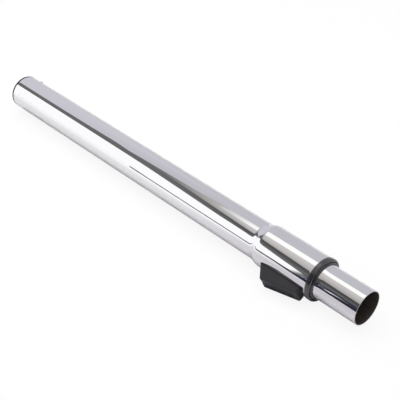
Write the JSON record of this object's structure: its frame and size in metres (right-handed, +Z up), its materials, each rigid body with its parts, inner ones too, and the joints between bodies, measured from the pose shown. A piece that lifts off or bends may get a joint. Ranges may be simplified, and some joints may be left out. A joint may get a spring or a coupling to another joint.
{
  "type": "telescopic vacuum wand",
  "caption": "Telescopic suction wand in chromed steel: an inner tube slides out of a barrel with a widened end, and a black thumb slider frees its lock.",
  "frame": {"origin": "on the axis of the tubes, in the plane of the handle end", "axes": "+X along the tubes from the handle end to the mouth of the inner tube, +Z up as the wand lies on a flat surface, with the slider below the axis on the -Y side"},
  "size_m": [0.5126, 0.0554, 0.0438],
  "materials": {
    "chromed_tube": "bright chrome plate on drawn steel tube",
    "cap_plastic": "moulded black ABS, fine satin grain",
    "collar_plastic": "moulded black polypropylene, soft gloss",
    "liner_plastic": "moulded black polypropylene",
    "guide_plastic": "moulded natural acetal",
    "bush_plastic": "moulded grey polypropylene",
    "grip_rubber": "moulded soft-touch elastomer",
    "seal_rubber": "moulded rubber",
    "guide_felt": "pressed wool felt",
    "lock_steel": "zinc-plated steel"
  },
  "bodies": {
    "barrel": {"outer_tube": "chromed_tube", "end_liner": "liner_plastic", "guide_sleeve": "guide_plastic", "felt_ring": "guide_felt", "collar_ring": "collar_plastic", "wiper_seal": "seal_rubber", "return_spring": "lock_steel"},
    "telescope": {"inner_tube": "chromed_tube", "rear_bush": "bush_plastic", "rear_seal": "seal_rubber"},
    "slider": {"slider_cap": "cap_plastic", "slider_pad": "grip_rubber", "slider_carriage": "guide_plastic", "lock_plate": "lock_steel"},
    "roller": {"locking_roller": "lock_steel"}
  },
  "joints": [
    {"name": "telescope_slide", "type": "slide", "parent": "barrel", "child": "telescope", "axis": [1, 0, 0], "range_m": [0, 0.342]},
    {"name": "slider_push", "type": "slide", "parent": "barrel", "child": "slider", "axis": [1, 0, 0], "range_m": [0, 0.0035], "stiffness_N_per_m": 1500, "springref_m": -0.002, "deforming": ["return_spring"]},
    {"name": "roller_lift", "type": "slide", "parent": "barrel", "child": "roller", "axis": [0, -0.9041, -0.4272], "range_m": [0, 0.00175]}
  ],
  "couplings": [
    {"joint": "roller_lift", "follows": "slider_push", "ratio": 0.5}
  ]
}
